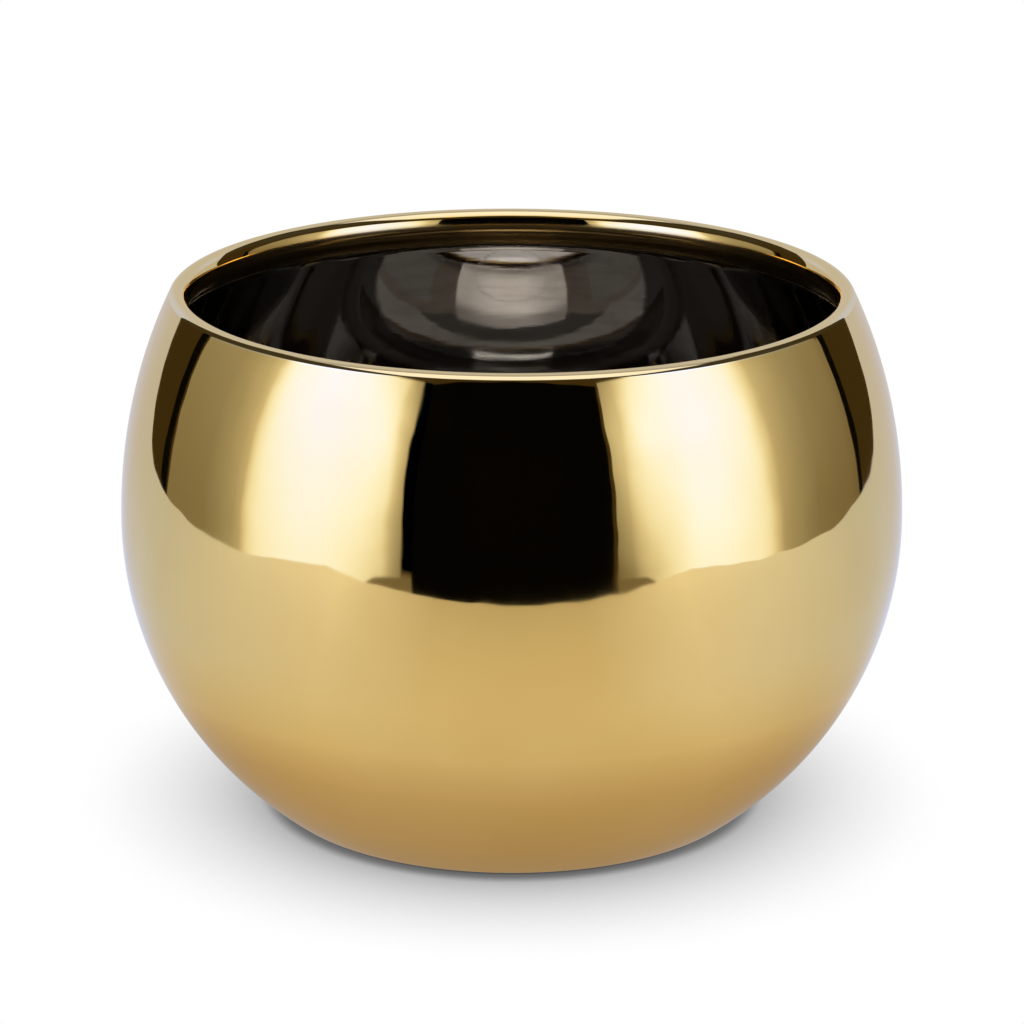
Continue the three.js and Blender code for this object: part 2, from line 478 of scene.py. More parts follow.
def glowing(name, light, filmed=False):
    # light gives the level from the node tree and the place on the card
    material, tree, surface = startMaterial(name)
    axes = axesOf(tree, objectPlace(tree))
    behind = addNode(tree, "ShaderNodeNewGeometry").outputs["Backfacing"]
    level = multiply(tree, calculate(tree, "SUBTRACT", 1.0, behind), light(tree, axes))
    shader = emission(tree, 1.0, filmColour(tree, level)) if filmed else emission(tree, level)
    tree.links.new(shader, surface)
    return material


room = {
    "light": 0.35,
    "mirrored": 0.055,
    "warm": (1.0, 0.75, 0.3),  # tint of that level
    "insideWarm": (1.0, 0.91, 0.84),
    "inside": 1.15,  # for light that has met three mirrors or more
    "insideRise": (0.16, 0.34),  # sine of the elevation, between which that level starts
    "insideLow": 0.3,
    "insideHigh": 1.6,  # close to straight up
    "highRise": (0.85, 0.95),  # sine of the elevation, between which that starts
}


def addWorld():
    world = bpy.data.worlds.new("whiteRoom")
    bpy.context.scene.world = world
    world.use_nodes = True
    tree = world.node_tree
    tree.nodes.clear()
    path = addNode(tree, "ShaderNodeLightPath").outputs
    mirrored = calculate(tree, "MAXIMUM", path["Is Glossy Ray"], path["Is Transmission Ray"])
    level = choose(tree, mirrored, room["light"], room["mirrored"])
    up = axesOf(tree, addNode(tree, "ShaderNodeTexCoord").outputs["Generated"])["Z"]
    inside = ramp(tree, up, *room["insideRise"], room["insideLow"], room["inside"])
    high = ramp(tree, up, *room["highRise"], 0, room["insideHigh"])
    inside = calculate(tree, "MAXIMUM", inside, high)
    level = choose(tree, mirrorCount(tree, 3), level, inside)
    level = calculate(tree, "MAXIMUM", level, path["Is Camera Ray"])
    tint = mixColour(tree, metOnce(tree), (1, 1, 1), room["warm"])
    tint = mixColour(tree, mirrorCount(tree, 3), tint, room["insideWarm"])
    sky = addNode(tree, "ShaderNodeBackground", {"Color": tint, "Strength": level}).outputs[0]
    output = tree.nodes.new("ShaderNodeOutputWorld")
    tree.links.new(sky, output.inputs["Surface"])


# Level of each side screen at azimuths from 27.5 to 114 degrees, and by height

screens = {
    "start": 27.5,
    "end": 114.0,
    "radius": 0.9,
    "low": -0.35,
    "high": 1.0,
    "Left": (
        (27.5, 0.0), (29.3, 0.0), (29.8, 0.75), (31.5, 1.05), (33.0, 1.45), (35.0, 2.5), (38.0, 3.1),
        (41.0, 3.4), (47.0, 3.7), (53.0, 4.0), (60.0, 4.1), (65.0, 3.9), (71.0, 3.45), (74.0, 3.1),
        (77.0, 2.3), (80.0, 1.05), (83.0, 0.80), (89.0, 0.60), (95.0, 0.49), (104.0, 0.47),
        (110.0, 0.46), (114.0, 0.46),
    ),
    "Right": (
        (27.5, 0.75), (29.5, 0.9), (32.5, 1.2), (35.0, 2.0), (38.0, 2.8), (41.0, 3.1), (47.0, 3.4),
        (52.0, 3.9), (59.0, 3.95), (65.0, 3.6), (71.0, 3.2), (74.0, 2.6), (77.0, 1.6), (80.0, 0.92),
        (83.0, 0.78), (89.0, 0.60), (95.0, 0.48), (104.0, 0.42), (110.0, 0.40), (114.0, 0.35),
    ),
    "tops": (
        (27.5, 0.738), (50.0, 0.738), (60.0, 0.72), (75.0, 0.67), (90.0, 0.63), (105.0, 0.50),
        (112.0, 0.41), (114.0, 0.34),
    ),
    "topFade": 0.035,
    "bottoms": (36, 44, -0.02, -0.077),  # azimuths, and the height of the lower edge at each
    "bottomFade": 0.008,
    "sinkLeft": (36, 52, 0.5, 0.3),  # azimuths, and how far the level sinks there toward the foot
    "sinkRight": (36, 52, 0.65, 0.3),
    "sinkHeights": (0.0, 0.4),
    "rise": (34, 50, 0.4, 0.05),  # azimuths, and how far it sinks there toward the top
    "riseHeights": (0.42, 0.76),
    "belowFoot": 0.25,
    "footFade": 0.02,
    "dim": 0.08,  # above the tops
    "inside": (0.26, 0.48, 0.3, 1.25),  # heights and levels that the pot's inside sees
}


def screenLight(name):
    def light(tree, axes):
        azimuth = azimuthOf(tree, axes)
        height = axes["Z"]
        top = calculate(tree, "SUBTRACT", height, levelAlong(tree, azimuth, screens["tops"]))
        above = ramp(tree, top, -screens["topFade"], 0.0, 1, 0)
        bottom = calculate(tree, "SUBTRACT", height, ramp(tree, azimuth, *screens["bottoms"]))
        below = ramp(tree, bottom, -screens["bottomFade"], screens["bottomFade"])
        sink = ramp(tree, height, *screens["sinkHeights"], 1, 0, smooth=False)
        sink = multiply(tree, sink, ramp(tree, azimuth, *screens["sink" + name]))
        rise = ramp(tree, height, *screens["riseHeights"])
        rise = multiply(tree, rise, ramp(tree, azimuth, *screens["rise"]))
        shape = calculate(tree, "SUBTRACT", calculate(tree, "SUBTRACT", 1.0, sink), rise)
        level = multiply(tree, levelAlong(tree, azimuth, screens[name]), below, above, shape)
        dim = multiply(tree, calculate(tree, "SUBTRACT", 1.0, above), screens["dim"])
        foot = ramp(tree, height, -screens["footFade"], screens["footFade"], screens["belowFoot"], 0)
        level = calculate(tree, "MAXIMUM", level, calculate(tree, "ADD", dim, foot))
        return choose(tree, mirrorCount(tree, 3), level, ramp(tree, height, *screens["inside"]))

    return glowing("screenLight" + name, light, filmed=True)


def addScreens():
    for name, side in (("Left", -1), ("Right", 1)):
        ends = sorted((side * screens["start"], side * screens["end"]))
        size = (screens["radius"], screens["low"], screens["high"])
        addScreen("screen" + name, screenLight(name), *ends, *size)


overhead = {
    "place": (0.04, -0.40, 1.0),
    "size": (1.36, 0.96),
    "sideFade": 0.1,  # widths of its soft edges
    "frontFade": 0.14,
    "backFade": 0.08,
    "level": 3.3,
    "mirrored": 1.22,
    "inside": 2.4,  # for light that has met two mirrors or more, on the front part only
    "insideEdge": (-0.55, -0.53),  # places along Y between which it ends
    "insideSides": (0.3, 0.6, 1, 0.2),  # distances from its middle, and shares of the level there
    "insideFront": 4.6,  # level still further in front
    "insideFrontEdge": (-0.69, -0.66),
    "insideFrontSides": (0.28, 0.4, 1, 0.3),
    "back": 0.5,  # level of the dim ceiling behind it
    "backPlace": (0, 0.42, 1.5),
    "backSize": (1.8, 0.7),
}


def addOverhead():
    # the card's own Y runs toward the camera, because it faces down
    def light(tree, axes):
        wide, deep = (0.5 * size for size in overhead["size"])
        fade = overhead["sideFade"]
        across = axes["X"]
        along = calculate(tree, "MULTIPLY", axes["Y"], -1.0)
        aside = calculate(tree, "ABSOLUTE", across)
        path = addNode(tree, "ShaderNodeLightPath").outputs
        level = multiply(
            tree,
            choose(tree, path["Is Glossy Ray"], overhead["level"], overhead["mirrored"]),
            ramp(tree, across, -wide, fade - wide),
            ramp(tree, across, wide, wide - fade),
            ramp(tree, along, -deep, overhead["frontFade"] - deep),
            ramp(tree, along, deep, deep - overhead["backFade"]),
        )
        parts = []
        for part in ("inside", "insideFront"):
            edge = (place - overhead["place"][1] for place in overhead[part + "Edge"])
            front = ramp(tree, along, *edge, overhead[part], 0)
            parts.append(multiply(tree, front, ramp(tree, aside, *overhead[part + "Sides"])))
        level = choose(tree, mirrorCount(tree, 2), level, calculate(tree, "MAXIMUM", *parts))
        return choose(tree, mirrorCount(tree, 3), level, room["insideHigh"])

    softbox = glowing("softboxOverhead", light)
    addCeiling("softboxOverhead", softbox, overhead["place"], overhead["size"])
    dim = glowing("dimCeiling", lambda tree, axes: overhead["back"])
    addCeiling("dimCeiling", dim, overhead["backPlace"], overhead["backSize"])


# Black cards, each with its azimuth, distance, width, and the heights of its lower and upper edges

black = {
    "front": (-1.85, 1.5, 1.73, -0.4, 1.25),
    "edge": (116.0, 0.91, 0.06, -0.4, 0.36),  # right of the table, and the same on the left
    "paint": (0.004, 0.004, 0.004, 1),
}


def blackCloth():
    # the pot's inside sees it like the room around it
    material, tree, surface = startMaterial("blackCloth")
    paint = addNode(tree, "ShaderNodeBsdfDiffuse", {"Color": black["paint"]}).outputs[0]
    shown = mixShaders(tree, mirrorCount(tree, 3), paint, emission(tree, room["inside"]))
    tree.links.new(shown, surface)
    return material


def addBlackCards():
    cloth = blackCloth()
    addCard("blackFront", cloth, *black["front"])
    azimuth, *size = black["edge"]
    for name, side in (("Left", -1), ("Right", 1)):
        addCard("blackEdge" + name, cloth, side * azimuth, *size)


def addStage():
    addWorld()
    addSweep()
    addScreens()
    addOverhead()
    addBlackCards()


addCamera()
addStage()
print("camera and stage ready")

# Outline of the pot: two quarter ellipses that meet at the belly, with a rounded lip and foot

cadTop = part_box("gold_outer_coat")[1].z

pot = {
    "height": cadTop,
    "bellyRadius": cadHigh.x,
    "bellyHeight": 0.0756,
    "mouthRadius": 0.0871,
    "footRadius": 0.0615,
    "wall": 0.0048,
    "lipTight": 0.0019,  # radius of the lip's inner side near its top
    "lipWide": 0.0062,  # and lower down
    "lipTurn": 0.63,  # elevation of the surface, in radians, where one becomes the other
    "coat": 0.0005,
    "gap": 0.0003,
    "band": 0.010,  # depth of the gold inside, from the top of the lip
    "feet": 0.0008,  # thickness of the felt feet
    "footCorner": 0.0016,
    "ring": 0.010,  # width of the foot ring
    "recess": 0.003,
    "recessFillet": 0.002,
    "floor": 0.0108,  # height of the floor inside
    "floorFillet": 0.012,
    "sinkRadius": 0.014,
    "sinkDepth": 0.0025,
    "drainRadius": 0.007,
    "seam": 0.00006,  # round the plug's cap, in the sink
    "flat": 0.0004,  # short flat beside a bend of the floor, which keeps its shading clean
    "around": 256,  # steps round the axis
}
pot["lip"] = pot["height"] - pot["wall"] / 2
pot["inset"] = pot["coat"] + pot["gap"]


def quarterHeight(distance, radiusThere):
    return distance / math.sqrt(1 - (radiusThere / pot["bellyRadius"]) ** 2)


pot["rise"] = quarterHeight(pot["lip"] - pot["bellyHeight"], pot["mouthRadius"])
pot["drop"] = quarterHeight(pot["bellyHeight"] - pot["feet"], pot["footRadius"])


def outward(angle):
    half = pot["drop"] if angle < 0 else pot["rise"]
    return Vector((math.cos(angle) / pot["bellyRadius"], math.sin(angle) / half)).normalized()


def wallPoint(angle, depth):
    half = pot["drop"] if angle < 0 else pot["rise"]
    skin = Vector((pot["bellyRadius"] * math.cos(angle), pot["bellyHeight"] + half * math.sin(angle)))
    return skin - outward(angle) * depth


def angleAt(height, depth):
    low, high = -quarterTurn, quarterTurn
    for _ in range(50):
        middle = (low + high) / 2
        if wallPoint(middle, depth).y < height:
            low = middle
        else:
            high = middle
    return (low + high) / 2


def spread(start, end, steps):
    return [start + (end - start) * i / steps for i in range(steps + 1)]


def arc(centre, radius, start, end, steps):
    return [centre + Vector((math.cos(a), math.sin(a))) * radius for a in spread(start, end, steps)]


def leanOf(angle):
    direction = outward(angle)
    return math.atan2(direction.y, direction.x)


lipAngle = angleAt(pot["lip"], pot["wall"] / 2)
footAngle = angleAt(pot["feet"] + pot["footCorner"], pot["footCorner"])
filletAngle = angleAt(pot["floor"] + pot["floorFillet"], pot["wall"] + pot["floorFillet"])
lipCentre = wallPoint(lipAngle, pot["wall"] / 2)
bandAngle = angleAt(pot["height"] - pot["band"], pot["wall"])
footCentre = wallPoint(footAngle, pot["footCorner"])
filletCentre = wallPoint(filletAngle, pot["wall"] + pot["floorFillet"])
footOuter = footCentre.x - pot["gap"]
footInner = footOuter - pot["ring"]


def outsideLine(depth):
    angles = spread(footAngle, 0, 44) + spread(0, lipAngle, 26)[1:]
    return [wallPoint(angle, depth) for angle in angles]


def innerLip():
    # inner side of the lip, from its top to the gold's edge, as pairs of a place and the way it faces
    tight, wide, turn = pot["lipTight"], pot["lipWide"], pot["lipTurn"]
    centre = lipCentre + Vector((0, pot["wall"] / 2 - tight))
    pairs = []
    for rise in spread(quarterTurn, turn, 14)[1:]:
        facing = Vector((-math.cos(rise), math.sin(rise)))
        pairs.append((centre + facing * tight, facing))
    centre = pairs[-1][0] - pairs[-1][1] * wide
    for rise in spread(turn, 0, 14)[1:]:
        facing = Vector((-math.cos(rise), math.sin(rise)))
        pairs.append((centre + facing * wide, facing))
    start = pairs[-1][0]
    end = wallPoint(bandAngle, pot["wall"])
    reach = (end - start).length
    leave = Vector((0, -1)) * reach
    arrive = Vector((outward(bandAngle).y, -outward(bandAngle).x)) * reach
    for t in spread(0, 1, 12)[1:]:
        place = start * (2 * t**3 - 3 * t**2 + 1) + end * (3 * t**2 - 2 * t**3)
        place += leave * (t**3 - 2 * t**2 + t) + arrive * (t**3 - t**2)
        along = (end - start) * (6 * t - 6 * t**2)
        along += leave * (3 * t**2 - 4 * t + 1) + arrive * (3 * t**2 - 2 * t)
        pairs.append((place, Vector((along.y, -along.x)).normalized()))
    return pairs


def overLip(depth):
    # the outer side is round, and the inner one is drawn out down to the gold's edge
    outer = arc(lipCentre, pot["wall"] / 2 - depth, leanOf(lipAngle), quarterTurn, 12)[1:]
    return outer + [place - facing * depth for place, facing in innerLip()]


def insideLine(top, depth):
    angles = spread(top, 0, 24) + spread(0, filletAngle, 30)[1:]
    return [wallPoint(angle, depth) for angle in angles]


def footArc(depth):
    return arc(footCentre, pot["footCorner"] - depth, -quarterTurn, leanOf(footAngle), 6)[:-1]


def floorArc(depth):
    radius = pot["floorFillet"] + depth
    flat = Vector((filletCentre.x - pot["flat"], pot["floor"] - depth))
    return [*arc(filletCentre, radius, leanOf(filletAngle), -quarterTurn, 24)[1:], flat]


# Turned pieces: an outline in the XZ plane is drawn and spun round the axis


def turnPiece(name, outline, steps, closed=True):
    if closed:
        outline = [*outline, outline[0]]
    piece = startPoint(name, (outline[0].x, 0, outline[0].y))
    for here, after in zip(outline, outline[1:]):
        extrudeBy((after.x - here.x, 0, after.y - here.y))
    bpy.ops.mesh.select_all(action="SELECT")
    bpy.ops.mesh.spin(steps=steps, angle=fullTurn, center=(0, 0, 0), axis=(0, 0, 1))
    bpy.ops.mesh.select_all(action="SELECT")
    bpy.ops.mesh.remove_doubles(threshold=0.000002)
    bpy.ops.mesh.normals_make_consistent(inside=False)
    bpy.ops.object.mode_set(mode="OBJECT")
    return piece


def bevelEdges(piece, width, segments=2, angle=1.0):
    bevel = piece.modifiers.new("Bevel", "BEVEL")
    bevel.width = width
    bevel.segments = segments
    bevel.limit_method = "ANGLE"
    bevel.angle_limit = angle
    bpy.ops.object.modifier_apply(modifier=bevel.name)


def smoothFaces(degrees=35):
    bpy.ops.object.shade_smooth_by_angle(angle=math.radians(degrees))


def finishPiece(piece, material, slotName, body, *nodes):
    piece.data.materials.append(material)
    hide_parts(*nodes)
    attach(piece, body)


# Effects that more than one material uses


def startGroup(name, inputs, outputs):
    tree = bpy.data.node_groups.new(name, "ShaderNodeTree")
    for title, kind, value in inputs:
        socket = tree.interface.new_socket(name=title, in_out="INPUT", socket_type=kind)
        if value is not None:
            socket.default_value = value
    for title, kind in outputs:
        tree.interface.new_socket(name=title, in_out="OUTPUT", socket_type=kind)
    given = tree.nodes.new("NodeGroupInput").outputs
    wanted = tree.nodes.new("NodeGroupOutput").inputs
    return tree, given, wanted


def useGroup(tree, group, **inputs):
    made = tree.nodes.new("ShaderNodeGroup")
    made.node_tree = group
    for name, value in inputs.items():
        if isinstance(value, bpy.types.NodeSocket):
            tree.links.new(value, made.inputs[name])
        else:
            made.inputs[name].default_value = value
    return made.outputs


number = "NodeSocketFloat"


def makeRipple():
    # shallow waves that a fired coat keeps from the clay under it, long ones and short ones
    inputs = [("Place", "NodeSocketVector", None), ("Long", number, 1.0), ("Short", number, 1.0)]
    tree, given, wanted = startGroup("firedRipple", inputs, [("Height", number)])
    place = given["Place"]
    long = multiply(tree, noise(tree, place, 20, detail=0.5), given["Long"])
    short = multiply(tree, noise(tree, place, 90, detail=1, stretch=(1, 1, 0.8)), given["Short"])
    tree.links.new(calculate(tree, "ADD", long, short), wanted["Height"])
    return tree


def makeSmudge():
    # soft cloudy patches where hands and cloths have dulled a gloss
    inputs = [
        ("Place", "NodeSocketVector", None),
        ("Scale", number, 30.0),
        ("Clean", number, 0.03),
        ("Dull", number, 0.08),
    ]
    outputs = [("Roughness", number), ("Mask", number)]
    tree, given, wanted = startGroup("handledSmudge", inputs, outputs)
    cloud = noise(tree, given["Place"], given["Scale"], detail=4, roughness=0.6)
    mask = ramp(tree, cloud, 0.42, 0.72)
    span = calculate(tree, "SUBTRACT", given["Dull"], given["Clean"])
    tree.links.new(calculate(tree, "MULTIPLY_ADD", mask, span, given["Clean"]), wanted["Roughness"])
    tree.links.new(mask, wanted["Mask"])
    return tree


def makeGrain():
    # fine grain with a few coarse specks, for the matt finishes
    inputs = [("Place", "NodeSocketVector", None), ("Scale", number, 1500.0), ("Specks", number, 500.0)]
    outputs = [("Grain", number), ("Speck", number)]
    tree, given, wanted = startGroup("mattGrain", inputs, outputs)
    grain = noise(tree, given["Place"], given["Scale"], detail=3, roughness=0.65)
    cells = {"Vector": given["Place"], "Scale": given["Specks"]}
    spot = addNode(tree, "ShaderNodeTexVoronoi", cells, feature="F1").outputs
    chance = addNode(tree, "ShaderNodeSeparateColor", {"Color": spot["Color"]}).outputs["Red"]
    speck = multiply(tree, ramp(tree, spot["Distance"], 0.35, 0.2), ramp(tree, chance, 0.8, 0.9))
    tree.links.new(grain, wanted["Grain"])
    tree.links.new(speck, wanted["Speck"])
    return tree


firedRipple = makeRipple()
handledSmudge = makeSmudge()
mattGrain = makeGrain()


def smudgesOn(tree, place, finish):
    values = {"Place": place, "Scale": finish["smudge"], "Clean": finish["clean"], "Dull": finish["dull"]}
    return useGroup(tree, handledSmudge, **values)


def wavesOn(tree, place, finish):
    return useGroup(tree, firedRipple, Place=place, Long=finish["longWaves"], Short=finish["shortWaves"])


# Gold coat: up the outside, over the lip and a short way down inside

gold = {
    "light": (0.80, 0.545, 0.190),
    "deep": (0.775, 0.520, 0.170),
    "grazing": (0.97, 0.91, 0.80),  # tint where the surface is seen edge on
    "brushed": 0.16,  # extra roughness of the thin gold inside, where the brush ends
    # darker gold inside the mouth: partly thin gold where the brush ends, partly painted shade of the dark
    # inside
    "thin": (0.50, 0.33, 0.12),
    "thinStart": (0.0027, 0.0040),  # depths below the lip's top between which it starts
    "thinEnd": (0.03, 0.02),  # and between which it is over
    "thinSide": (0.0019, 0.0013),  # distances past the middle of the lip, outward, between which it starts
    "polished": (0.84, 0.69, 0.42),  # paler on top of the lip: a painted highlight, which makes the lip's reflections look cream-white
    "paleLipHighlightEnd": (0.0016, 0.0010),  # depths between which that is over
    "cloud": 22,  # scales of the patches of colour and of the smudges
    "smudge": 38,
    "clean": 0.03,
    "dull": 0.065,
    "longWaves": 0.00018,
    "shortWaves": 0.00007,
    "edge": 0.00012,
}


def mirrorGold():
    material, tree, surface = startMaterial("mirrorGold")
    place = objectPlace(tree)
    axes = axesOf(tree, place)
    cloud = noise(tree, place, gold["cloud"], detail=3)
    colour = mixColour(tree, ramp(tree, cloud, 0.35, 0.65), gold["light"], gold["deep"])
    smudge = smudgesOn(tree, place, gold)
    depth = calculate(tree, "SUBTRACT", pot["height"], axes["Z"])
    side = calculate(tree, "SUBTRACT", distanceFromAxis(tree, axes), lipCentre.x)
    brushed = multiply(
        tree,
        ramp(tree, depth, *gold["thinStart"]),
        ramp(tree, depth, *gold["thinEnd"]),
        ramp(tree, side, *gold["thinSide"]),
    )
    # the thin gold inside the mouth is darker, partly its own thin coat and partly painted shade
    colour = mixColour(tree, brushed, colour, gold["thin"])
    # painted highlight: paler gold on top of the lip
    colour = mixColour(tree, ramp(tree, depth, *gold["paleLipHighlightEnd"]), colour, gold["polished"])
    inputs = {
        "Base Color": colour,
        "Metallic": 1.0,
        "Roughness": calculate(tree, "MULTIPLY_ADD", brushed, gold["brushed"], smudge["Roughness"]),
        "Specular Tint": (*gold["grazing"], 1),
        "Normal": bumpFrom(tree, wavesOn(tree, place, gold)["Height"]),
    }
    return finishMaterial(material, tree, surface, inputs)


def addGoldCoat():
    coat = pot["coat"]
    face = footArc(0) + outsideLine(0) + overLip(0)
    back = footArc(coat) + outsideLine(coat) + overLip(coat)
    piece = turnPiece("goldCoat", face + back[::-1], pot["around"])
    bevelEdges(piece, gold["edge"])
    smoothFaces()
    finishPiece(piece, mirrorGold(), "mirror_gold", "pot", "gold_outer_coat")


addGoldCoat()
print("gold coat ready")

# Dark glaze: down the inside from the gold's edge, over the floor and into the sink

glaze = {
    "lustre": (0.35, 0.335, 0.315),  # colour of the metal film that the glaze forms where it is thick
    "worn": (0.30, 0.283, 0.262),
    "under": (0.012, 0.0075, 0.0048),  # dark glaze with no metal film, put in the corner between floor and wall as painted shade
    "cornerShadeReach": (0.0525, 0.0550),  # distances from the axis beyond which the painted shade starts
    "cornerShadeTop": (0.030, 0.036),  # and heights where it ends
    "wander": 0.005,  # how far these edges wander
    "brush": 48,  # scales of the brush marks and of the smudges
    "smudge": 60,
    "clean": 0.03,
    "dull": 0.065,
    "longWaves": 0.00004,
    "shortWaves": 0.00001,
    "brushMarks": 0.000006,
    "edge": 0.00005,
}


def darkGlaze():
    material, tree, surface = startMaterial("darkGlaze")
    place = objectPlace(tree)
    axes = axesOf(tree, place)
    brush = noise(tree, place, glaze["brush"], detail=4, roughness=0.6, stretch=(1, 1, 9))
    colour = mixColour(tree, ramp(tree, brush, 0.42, 0.7), glaze["lustre"], glaze["worn"])
    wander = calculate(tree, "MULTIPLY_ADD", brush, glaze["wander"], -glaze["wander"] / 2)
    # the metal film is left out in the corner between floor and wall, which paints shade there
    wall = ramp(tree, calculate(tree, "ADD", axes["Z"], wander), *glaze["cornerShadeTop"])
    radius = distanceFromAxis(tree, axes)
    floor = ramp(tree, calculate(tree, "ADD", radius, wander), *glaze["cornerShadeReach"], 1, 0)
    film = calculate(tree, "MAXIMUM", wall, floor)
    waves = wavesOn(tree, place, glaze)["Height"]
    waves = calculate(tree, "MULTIPLY_ADD", brush, glaze["brushMarks"], waves)
    inputs = {
        "Base Color": mixColour(tree, film, glaze["under"], colour),
        "Metallic": film,
        "Roughness": smudgesOn(tree, place, glaze)["Roughness"],
        "Normal": bumpFrom(tree, waves),
    }
    return finishMaterial(material, tree, surface, inputs)


def glazeOutline(depth):
    top = angleAt(pot["height"] - pot["band"] - pot["gap"], pot["wall"])
    sink = pot["floor"] - pot["sinkDepth"]
    return [
        *insideLine(top, pot["wall"] - depth),
        *floorArc(depth),
        Vector((pot["sinkRadius"] + depth + pot["flat"], pot["floor"] - depth)),
        Vector((pot["sinkRadius"] + depth, pot["floor"] - depth)),
        Vector((pot["sinkRadius"] + depth, sink - depth)),
        Vector((pot["drainRadius"], sink - depth)),
    ]


def addDarkGlaze(material):
    outline = glazeOutline(0) + glazeOutline(pot["coat"])[::-1]
    piece = turnPiece("darkGlaze", outline, pot["around"])
    bevelEdges(piece, glaze["edge"])
    smoothFaces()
    finishPiece(piece, material, "dark_glaze", "pot", "dark_inner_glaze")


glazeFinish = darkGlaze()
addDarkGlaze(glazeFinish)
print("dark glaze ready")

# Clay body: bare on the foot ring and its recess, and in the drain hole

clay = {
    "light": (0.70, 0.62, 0.50),
    "dark": (0.56, 0.47, 0.36),
    "speck": (0.30, 0.22, 0.15),
    "footWear": (0.42, 0.36, 0.30),
    "wearHeights": (0.0016, 0.0008),  # between which the wear starts, from above
    "wear": 0.6,  # strongest shares of the wear and of the specks
    "specks": 0.75,
    "cloud": 45,  # scales of the patches of colour and of the turning lines
    "lines": 900,
    "rough": (0.78, 0.95),
    "grainHeight": 0.00006,
    "lineHeight": 0.00008,
    "pitDepth": 0.00005,
    "edge": 0.0002,
}


def bareClay():
    material, tree, surface = startMaterial("bareClay")
    place = objectPlace(tree)
    axes = axesOf(tree, place)
    height = axes["Z"]
    grain = useGroup(tree, mattGrain, Place=place, Scale=1400, Specks=420)
    cloud = noise(tree, place, clay["cloud"], detail=4, roughness=0.6)
    colour = mixColour(tree, ramp(tree, cloud, 0.35, 0.68), clay["light"], clay["dark"])
    colour = mixColour(tree, multiply(tree, grain["Speck"], clay["specks"]), colour, clay["speck"])
    worn = multiply(tree, ramp(tree, height, *clay["wearHeights"]), ramp(tree, cloud, 0.4, 0.7))
    colour = mixColour(tree, multiply(tree, worn, clay["wear"]), colour, clay["footWear"])
    # turning lines that the foot's trimming leaves, round the axis
    rings = {"X": distanceFromAxis(tree, axes), "Y": height}
    rings = addNode(tree, "ShaderNodeCombineXYZ", rings).outputs[0]
    bumps = multiply(tree, noise(tree, rings, clay["lines"], detail=2), clay["lineHeight"])
    bumps = calculate(tree, "MULTIPLY_ADD", grain["Grain"], clay["grainHeight"], bumps)
    bumps = calculate(tree, "MULTIPLY_ADD", grain["Speck"], -clay["pitDepth"], bumps)
    inputs = {
        "Base Color": colour,
        "Roughness": ramp(tree, grain["Grain"], 0.3, 0.7, *clay["rough"]),
        "Normal": bumpFrom(tree, bumps),
    }
    return finishMaterial(material, tree, surface, inputs)


def clayOutline():
    inset = pot["inset"]
    roof = pot["feet"] + pot["recess"]
    sink = pot["floor"] - pot["sinkDepth"] - inset
    corner = Vector((footInner - pot["recessFillet"], roof - pot["recessFillet"]))
    inside = spread(bandAngle, 0, 12)[1:] + spread(0, filletAngle, 20)[1:]
    return [
        Vector((pot["drainRadius"], roof)),
        *arc(corner, pot["recessFillet"], quarterTurn, 0, 8),
        Vector((footInner, pot["feet"])),
        Vector((footOuter, pot["feet"])),
        Vector((footOuter, pot["feet"] + inset)),
        *footArc(inset),
        *[wallPoint(a, inset) for a in spread(footAngle, 0, 22) + spread(0, lipAngle, 14)[1:]],
        *overLip(inset),
        *[wallPoint(a, pot["wall"] - inset) for a in inside],
        *floorArc(inset),
        Vector((pot["sinkRadius"] + inset, pot["floor"] - inset)),
        Vector((pot["sinkRadius"] + inset, sink)),
        Vector((pot["drainRadius"], sink)),
    ]


def addClayBody():
    piece = turnPiece("clayBody", clayOutline(), 128)
    bevelEdges(piece, clay["edge"])
    smoothFaces()
    finishPiece(piece, bareClay(), "bare_clay", "pot", "ceramic_body")


addClayBody()
print("clay body ready")

# Plug: a glazed cap, flush with the floor, on a ribbed seal that fills the drain hole

plug = {
    "capDrop": 0.00002,
    "capEdge": 0.00006,
    "capMiddle": 0.0005,  # radius of the fan of faces at its middle
    "pegRadius": 0.0025,
    "pegLength": 0.004,
    "clearance": 0.0003,
    "rim": 0.0007,
    "rimRadius": 0.0122,
    "reach": 0.0016,  # how far the seal comes out of the drain hole
    "ribs": 3,
    "ribDepth": 0.0009,
    "ribSlope": 0.45,  # shares of a rib's height, from its top, where its slope and its land end
    "ribLand": 0.2,
    "ribEdge": 0.00022,
    "taper": 0.00025,  # how much narrower each rib is than the one above it
    "rubber": (0.022, 0.022, 0.023),
    "dust": (0.075, 0.07, 0.062),
    "clean": 0.42,
    "dull": 0.62,
    "smudge": 180,
    "grainHeight": 0.00002,
}
plug["seat"] = pot["floor"] - pot["sinkDepth"] + plug["rim"]


def addPlugCap(material):
    seat = plug["seat"]
    top = pot["floor"] - plug["capDrop"]
    radius = pot["sinkRadius"] - pot["seam"]
    edge = plug["capEdge"]
    outline = [
        Vector((0, seat - plug["pegLength"])),
        Vector((plug["pegRadius"], seat - plug["pegLength"])),
        Vector((plug["pegRadius"], seat)),
        Vector((radius, seat)),
        *arc(Vector((radius - edge, top - edge)), edge, 0, quarterTurn, 6),
        Vector((radius - edge * 1.5, top)),
        Vector((plug["capMiddle"], top)),
        Vector((0, top)),
    ]
    piece = turnPiece("plugCap", outline, 128, closed=False)
    smoothFaces()
    finishPiece(piece, material, "dark_glaze", "plug", "drain_plug")


